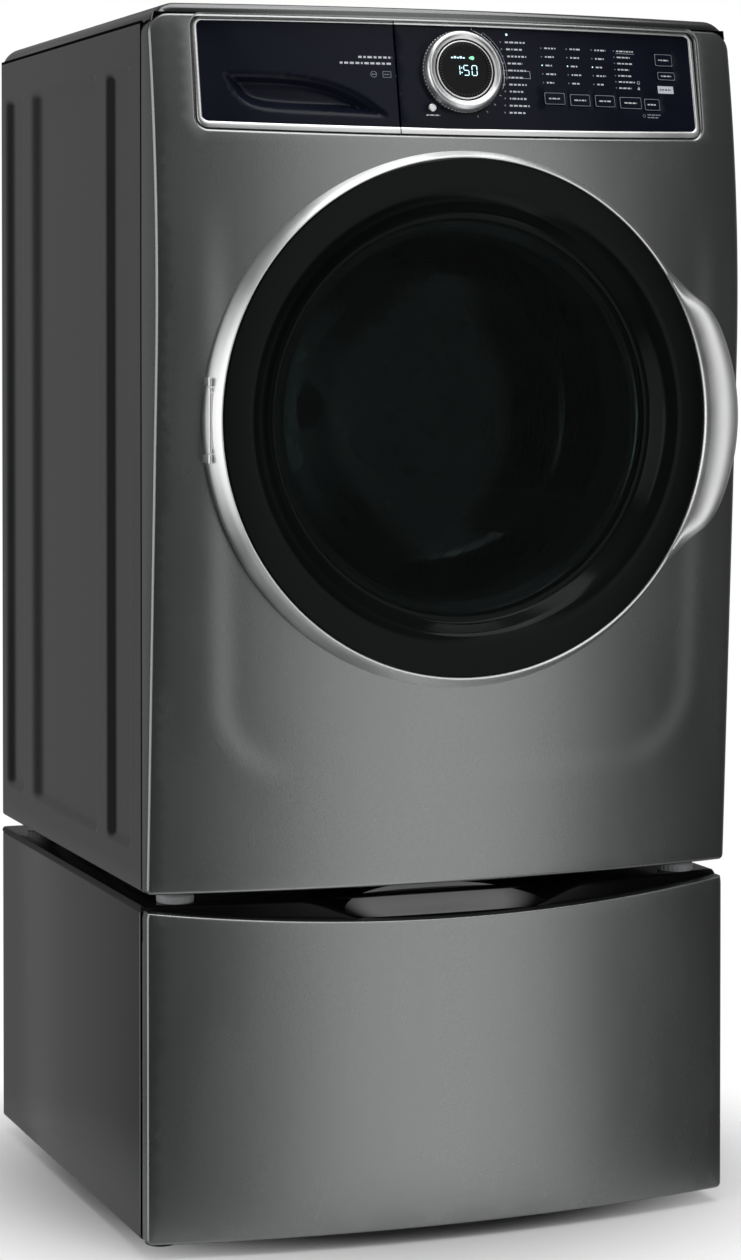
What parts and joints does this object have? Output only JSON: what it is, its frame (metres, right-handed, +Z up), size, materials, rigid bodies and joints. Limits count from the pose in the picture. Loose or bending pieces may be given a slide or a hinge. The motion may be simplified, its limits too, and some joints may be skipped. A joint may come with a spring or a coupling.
{
  "type": "front load washing machine",
  "caption": "Front load washing machine with round glass door, control knob and keys, on a storage pedestal with a pull-out drawer.",
  "frame": {"origin": "middle of the footprint, on the floor", "axes": "+Z up, the door faces -Y, +X to the right seen from the front"},
  "size_m": [0.686, 0.75, 1.346],
  "materials": {
    "titanium_front": "metallic titanium paint",
    "titanium_side": "metallic titanium paint",
    "sheet_zinc": "galvanised",
    "silver_trim": "satin silver plating",
    "navy_panel": "gloss",
    "black_gloss": "gloss",
    "black_plastic": "moulded",
    "grey_plastic": "moulded",
    "rubber_black": "matte",
    "rubber_grey": "matte",
    "dark_glass": "tinted",
    "clear_glass": "clear",
    "stainless": "brushed",
    "cast_weight": "cast",
    "cast_alloy": "cast",
    "board_green": "circuit board",
    "drawer_grey": "painted"
  },
  "bodies": {
    "cabinet": {"side_panel_left": "titanium_side", "side_panel_right": "titanium_side", "rear_panel": "titanium_side", "rear_cover": "titanium_side", "top_cover": "titanium_side", "front_panel": "titanium_front", "base_frame": "sheet_zinc", "top_rails": "sheet_zinc", "washer_feet": "grey_plastic", "console_trim": "silver_trim", "control_fascia": "navy_panel", "control_board": "board_green", "display_disc": "black_gloss", "dispenser_housing": "grey_plastic", "inlet_valves": "grey_plastic", "internal_hoses": "rubber_black", "door_lock": "black_plastic", "hinge_bracket": "cast_alloy", "drain_pump": "grey_plastic", "damper_cylinders": "black_plastic", "suspension_springs": "stainless", "door_gasket": "rubber_grey", "tub_hoses": "rubber_black", "pedestal_cabinet": "titanium_side", "pedestal_top": "black_gloss"},
    "door": {"door_ring": "silver_trim", "door_glass": "dark_glass", "door_frame": "black_plastic", "door_bowl": "clear_glass", "door_hinge_arm": "cast_alloy"},
    "detergent_drawer": {"detergent_front": "navy_panel", "detergent_tray": "grey_plastic"},
    "knob": {"cycle_knob": "silver_trim"},
    "pedestal_drawer": {"drawer_front": "titanium_front", "drawer_box": "drawer_grey"},
    "mid_rails": {"drawer_mid_rails": "sheet_zinc"},
    "tub": {"tub_front": "grey_plastic", "tub_rear": "grey_plastic", "counterweights": "cast_weight", "drum_bearings": "stainless", "motor_housing": "cast_alloy", "drive_belt": "rubber_black", "damper_rods": "stainless"},
    "drum": {"drum_shell": "stainless", "drum_spider": "cast_alloy", "drum_lifters": "grey_plastic", "drum_pulley": "cast_alloy"},
    "motor_rotor": {"motor_pulley": "stainless"},
    "key_power": {"key_power": "navy_panel"},
    "key_temp": {"key_temp": "navy_panel"},
    "key_soil": {"key_soil": "navy_panel"},
    "key_spin": {"key_spin": "navy_panel"},
    "key_options": {"key_options": "navy_panel"},
    "key_select": {"key_select": "navy_panel"},
    "key_start": {"key_start": "navy_panel"},
    "key_cancel": {"key_cancel": "navy_panel"},
    "foot_front_left": {"foot_front_left": "black_plastic"},
    "foot_front_right": {"foot_front_right": "black_plastic"},
    "foot_rear_left": {"foot_rear_left": "black_plastic"},
    "foot_rear_right": {"foot_rear_right": "black_plastic"}
  },
  "joints": [
    {"name": "door_hinge", "type": "hinge", "parent": "cabinet", "child": "door", "pos_m": [-0.291, -0.355, 0.902], "axis": [0, 0, -1], "range_deg": [0, 120]},
    {"name": "detergent_drawer_slide", "type": "slide", "parent": "cabinet", "child": "detergent_drawer", "axis": [0, -1, 0], "range_m": [0, 0.19]},
    {"name": "knob_turn", "type": "hinge", "parent": "cabinet", "child": "knob", "pos_m": [0, -0.3405, 1.277], "axis": [0, -0.9806, 0.1961], "continuous": true},
    {"name": "pedestal_drawer_slide", "type": "slide", "parent": "cabinet", "child": "pedestal_drawer", "axis": [0, -1, 0], "range_m": [0, 0.42]},
    {"name": "mid_rail_slide", "type": "slide", "parent": "cabinet", "child": "mid_rails", "axis": [0, -1, 0], "range_m": [0, 0.21]},
    {"name": "tub_bounce", "type": "slide", "parent": "cabinet", "child": "tub", "axis": [0, 0, 1], "range_m": [-0.012, 0.012], "stiffness_N_per_m": 20000, "springref_m": 0.02972, "deforming": ["suspension_springs", "door_gasket", "tub_hoses"]},
    {"name": "drum_spin", "type": "hinge", "parent": "tub", "child": "drum", "pos_m": [0, 0.025, 0.902], "axis": [0, 1, 0], "continuous": true},
    {"name": "motor_spin", "type": "hinge", "parent": "tub", "child": "motor_rotor", "pos_m": [0, 0.125, 0.532], "axis": [0, 1, 0], "continuous": true},
    {"name": "press_power", "type": "slide", "parent": "cabinet", "child": "key_power", "axis": [0.0223, 0.9803, -0.1961], "range_m": [0, 0.0008], "stiffness_N_per_m": 800, "springref_m": -0.0004},
    {"name": "press_temp", "type": "slide", "parent": "cabinet", "child": "key_temp", "axis": [-0.0674, 0.9783, -0.1961], "range_m": [0, 0.0008], "stiffness_N_per_m": 800, "springref_m": -0.0004},
    {"name": "press_soil", "type": "slide", "parent": "cabinet", "child": "key_soil", "axis": [-0.0867, 0.9767, -0.1961], "range_m": [0, 0.0008], "stiffness_N_per_m": 800, "springref_m": -0.0004},
    {"name": "press_spin", "type": "slide", "parent": "cabinet", "child": "key_spin", "axis": [-0.106, 0.9748, -0.1961], "range_m": [0, 0.0008], "stiffness_N_per_m": 800, "springref_m": -0.0004},
    {"name": "press_options", "type": "slide", "parent": "cabinet", "child": "key_options", "axis": [-0.1262, 0.9724, -0.1961], "range_m": [0, 0.0008], "stiffness_N_per_m": 800, "springref_m": -0.0004},
    {"name": "press_select", "type": "slide", "parent": "cabinet", "child": "key_select", "axis": [-0.1434, 0.97, -0.1961], "range_m": [0, 0.0008], "stiffness_N_per_m": 800, "springref_m": -0.0004},
    {"name": "press_start", "type": "slide", "parent": "cabinet", "child": "key_start", "axis": [-0.1566, 0.968, -0.1961], "range_m": [0, 0.0008], "stiffness_N_per_m": 800, "springref_m": -0.0004},
    {"name": "press_cancel", "type": "slide", "parent": "cabinet", "child": "key_cancel", "axis": [-0.1575, 0.9678, -0.1961], "range_m": [0, 0.0008], "stiffness_N_per_m": 800, "springref_m": -0.0004},
    {"name": "turn_foot_front_left", "type": "hinge", "parent": "cabinet", "child": "foot_front_left", "pos_m": [-0.308, -0.229, 0.01], "axis": [0, 0, 1], "continuous": true},
    {"name": "turn_foot_front_right", "type": "hinge", "parent": "cabinet", "child": "foot_front_right", "pos_m": [0.308, -0.229, 0.01], "axis": [0, 0, 1], "continuous": true},
    {"name": "turn_foot_rear_left", "type": "hinge", "parent": "cabinet", "child": "foot_rear_left", "pos_m": [-0.308, 0.29, 0.01], "axis": [0, 0, 1], "continuous": true},
    {"name": "turn_foot_rear_right", "type": "hinge", "parent": "cabinet", "child": "foot_rear_right", "pos_m": [0.308, 0.29, 0.01], "axis": [0, 0, 1], "continuous": true}
  ],
  "couplings": [
    {"joint": "motor_spin", "follows": "drum_spin", "ratio": 10},
    {"joint": "mid_rail_slide", "follows": "pedestal_drawer_slide", "ratio": 0.5}
  ]
}
